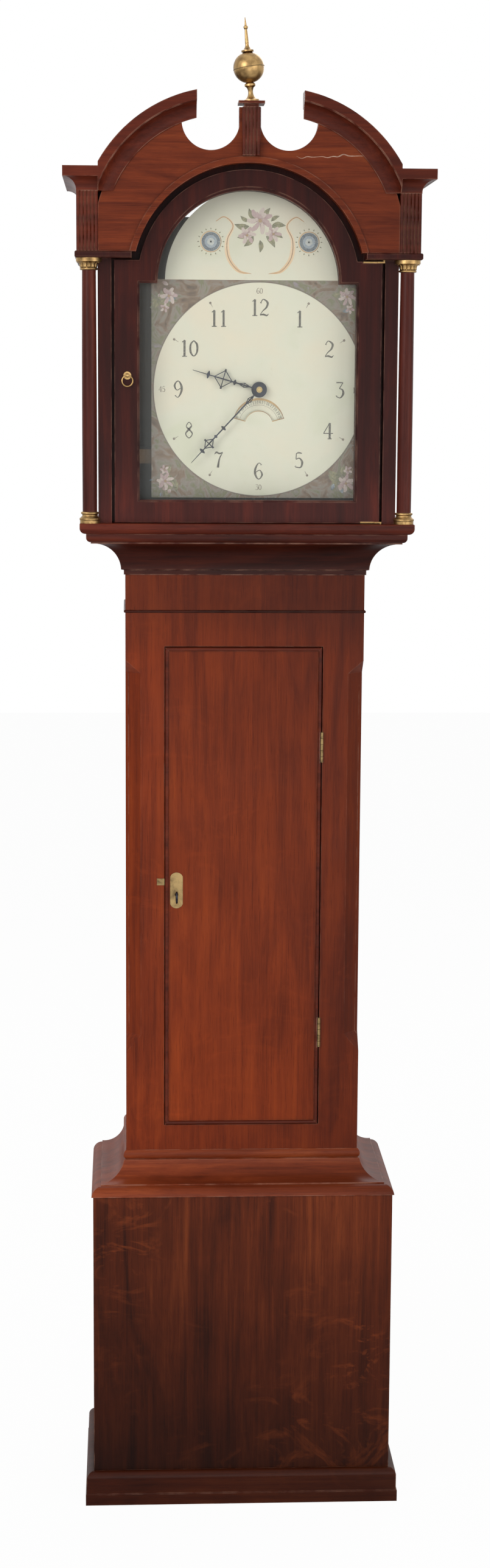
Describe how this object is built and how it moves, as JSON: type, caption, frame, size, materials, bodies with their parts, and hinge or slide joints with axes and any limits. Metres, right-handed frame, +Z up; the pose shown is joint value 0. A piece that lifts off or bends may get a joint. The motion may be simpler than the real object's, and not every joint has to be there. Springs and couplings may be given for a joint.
{
  "type": "longcase clock",
  "caption": "Tall free-standing pendulum clock: swan-neck hood with glazed arched door and painted dial, trunk with a long locking door, plinth base.",
  "frame": {"origin": "middle of the box's underside, on the floor under the clock", "axes": "+Z up, front towards -Y, +X to the right as seen from the front"},
  "size_m": [0.515, 0.276, 2.1556],
  "materials": {
    "oak": "waxed, worn",
    "mahogany": "polished",
    "pine": "raw, aged",
    "brass": "aged",
    "blued_steel": "blued",
    "dial_paint": "satin enamel paint",
    "lead": "dull",
    "rope": "laid cotton",
    "glass": "clear"
  },
  "bodies": {
    "case": {"backboard": "pine", "trunk_sides": "oak", "trunk_front_frame": "oak", "waist_moulding": "oak", "plinth_cove_moulding": "oak", "plinth_front": "oak", "plinth_sides": "oak", "skirting": "oak", "seatboard": "pine", "trunk_hinge_frame_leaves": "brass", "lock_keeper": "brass", "dial_plate": "dial_paint", "movement_front_plate": "brass", "movement_back_plate": "brass", "movement_pillars": "brass", "bell": "brass", "rope_over_pulleys": "rope", "rope_main_strands": "rope", "rope_slack_strands": "rope"},
    "trunk_door": {"trunk_door_board": "oak", "trunk_door_cock_bead": "mahogany", "trunk_hinge_door_leaves": "brass", "trunk_lock": "brass"},
    "lock_bolt": {"lock_bolt": "brass"},
    "trunk_key": {"trunk_key": "blued_steel"},
    "hood": {"hood_base_frame": "mahogany", "hood_carcass": "mahogany", "tympanum": "mahogany", "reeded_blocks": "mahogany", "cornice_mouldings": "mahogany", "hood_roof": "pine", "finial": "brass", "hood_columns": "mahogany", "column_brasses": "brass"},
    "hood_door": {"hood_door_frame": "mahogany", "hood_door_glass": "glass", "hood_door_brasses": "brass"},
    "pull_ring": {"hood_pull_ring": "brass"},
    "minute": {"cannon_wheel": "brass", "minute_hand": "blued_steel"},
    "hour": {"hour_wheel": "brass", "hour_hand": "blued_steel"},
    "motion_drive": {"motion_drive_wheel": "brass"},
    "date": {"date_disc": "dial_paint"},
    "going_great": {"going_great_wheel": "brass"},
    "going_second": {"going_second_wheel": "brass"},
    "escape": {"escape_wheel": "brass"},
    "anchor": {"anchor_and_crutch": "blued_steel"},
    "pendulum": {"pendulum": "brass"},
    "strike_great": {"strike_great_wheel": "brass"},
    "hoop": {"hoop_wheel": "brass"},
    "warning": {"warning_wheel": "brass"},
    "fly": {"fly": "brass"},
    "count": {"count_wheel": "brass"},
    "hammer": {"hammer": "blued_steel"},
    "weight": {"weight": "lead", "rope_weight_bight": "rope"},
    "weight_pulley": {"weight_pulley": "brass"},
    "counter_ring": {"counter_ring": "lead", "rope_slack_bight": "rope"}
  },
  "joints": [
    {"name": "hood_slide", "type": "slide", "parent": "case", "child": "hood", "axis": [0, -1, 0], "range_m": [0, 0.3]},
    {"name": "hood_door_hinge", "type": "hinge", "parent": "hood", "child": "hood_door", "pos_m": [0.189, -0.102, 1.65], "axis": [0, 0, 1], "range_deg": [0, 110]},
    {"name": "pull_ring_swing", "type": "hinge", "parent": "hood_door", "child": "pull_ring", "pos_m": [-0.169, -0.1049, 1.6725], "axis": [-1, 0, 0], "range_deg": [0, 80]},
    {"name": "trunk_door_hinge", "type": "hinge", "parent": "case", "child": "trunk_door", "pos_m": [0.1129, -0.0555, 0.93], "axis": [0, 0, 1], "range_deg": [0, 120]},
    {"name": "key_turn", "type": "hinge", "parent": "trunk_door", "child": "trunk_key", "pos_m": [-0.0983, -0.054, 0.922], "axis": [0, 1, 0], "range_deg": [0, 90]},
    {"name": "lock_bolt_slide", "type": "slide", "parent": "trunk_door", "child": "lock_bolt", "axis": [-1, 0, 0], "range_m": [0, 0.008]},
    {"name": "minute_arbor", "type": "hinge", "parent": "case", "child": "minute", "pos_m": [0.0175, -0.042, 1.654], "axis": [0, 1, 0], "continuous": true},
    {"name": "hour_arbor", "type": "hinge", "parent": "case", "child": "hour", "pos_m": [0.0175, -0.052, 1.654], "axis": [0, 1, 0], "continuous": true},
    {"name": "motion_drive_arbor", "type": "hinge", "parent": "case", "child": "motion_drive", "pos_m": [0.0475, -0.042, 1.6341], "axis": [0, 1, 0], "continuous": true},
    {"name": "date_arbor", "type": "hinge", "parent": "case", "child": "date", "pos_m": [0.0175, -0.058, 1.604], "axis": [0, 1, 0], "continuous": true},
    {"name": "weight_fall", "type": "slide", "parent": "case", "child": "weight", "axis": [0, 0, 1], "range_m": [-0.34, 0.24], "deforming": ["rope_main_strands"]},
    {"name": "weight_pulley_pin", "type": "hinge", "parent": "weight", "child": "weight_pulley", "pos_m": [0.0175, 0.006, 1.225], "axis": [0, 1, 0], "continuous": true},
    {"name": "counter_ring_rise", "type": "slide", "parent": "case", "child": "counter_ring", "axis": [0, 0, 1], "range_m": [-0.24, 0.34], "deforming": ["rope_slack_strands"]},
    {"name": "going_great_arbor", "type": "hinge", "parent": "case", "child": "going_great", "pos_m": [0.0475, 0.006, 1.6341], "axis": [0, 1, 0], "continuous": true},
    {"name": "going_second_arbor", "type": "hinge", "parent": "case", "child": "going_second", "pos_m": [0.03948, 0.006, 1.66539], "axis": [0, 1, 0], "continuous": true},
    {"name": "escape_arbor", "type": "hinge", "parent": "case", "child": "escape", "pos_m": [0.0175, 0.006, 1.684], "axis": [0, 1, 0], "continuous": true},
    {"name": "pendulum_swing", "type": "hinge", "parent": "case", "child": "pendulum", "pos_m": [0.0175, 0.062, 1.715], "axis": [0, 1, 0], "range_deg": [-3, 3]},
    {"name": "anchor_rock", "type": "hinge", "parent": "case", "child": "anchor", "pos_m": [0.0175, 0.027, 1.715], "axis": [0, 1, 0], "range_deg": [-3, 3]},
    {"name": "strike_great_arbor", "type": "hinge", "parent": "case", "child": "strike_great", "pos_m": [-0.0125, 0.006, 1.6341], "axis": [0, 1, 0], "continuous": true},
    {"name": "hoop_arbor", "type": "hinge", "parent": "case", "child": "hoop", "pos_m": [-0.01797, -0.005, 1.66512], "axis": [0, 1, 0], "continuous": true},
    {"name": "warning_arbor", "type": "hinge", "parent": "case", "child": "warning", "pos_m": [-0.01413, 0.003, 1.68689], "axis": [0, 1, 0], "continuous": true},
    {"name": "fly_arbor", "type": "hinge", "parent": "case", "child": "fly", "pos_m": [-0.01267, 0.016, 1.70362], "axis": [0, 1, 0], "continuous": true},
    {"name": "count_arbor", "type": "hinge", "parent": "case", "child": "count", "pos_m": [-0.02908, 0.043, 1.66281], "axis": [0, 1, 0], "continuous": true},
    {"name": "hammer_lift", "type": "hinge", "parent": "case", "child": "hammer", "pos_m": [-0.04, 0.018, 1.69], "axis": [0, -1, 0], "range_deg": [0, 8]}
  ],
  "couplings": [
    {"joint": "key_turn", "follows": "lock_bolt_slide", "rad_per_m": 196.35},
    {"joint": "hour_arbor", "follows": "minute_arbor", "ratio": 0.083333},
    {"joint": "motion_drive_arbor", "follows": "minute_arbor", "ratio": -1},
    {"joint": "counter_ring_rise", "follows": "weight_fall", "ratio": -1},
    {"joint": "weight_pulley_pin", "follows": "weight_fall", "rad_per_m": -71.429},
    {"joint": "going_great_arbor", "follows": "weight_fall", "rad_per_m": 125},
    {"joint": "going_second_arbor", "follows": "weight_fall", "rad_per_m": -937.5},
    {"joint": "escape_arbor", "follows": "weight_fall", "rad_per_m": 7500},
    {"joint": "anchor_rock", "follows": "pendulum_swing", "ratio": 1},
    {"joint": "hoop_arbor", "follows": "strike_great_arbor", "ratio": -13},
    {"joint": "warning_arbor", "follows": "strike_great_arbor", "ratio": 97.5},
    {"joint": "fly_arbor", "follows": "strike_great_arbor", "ratio": -585},
    {"joint": "count_arbor", "follows": "strike_great_arbor", "ratio": -0.083333}
  ]
}
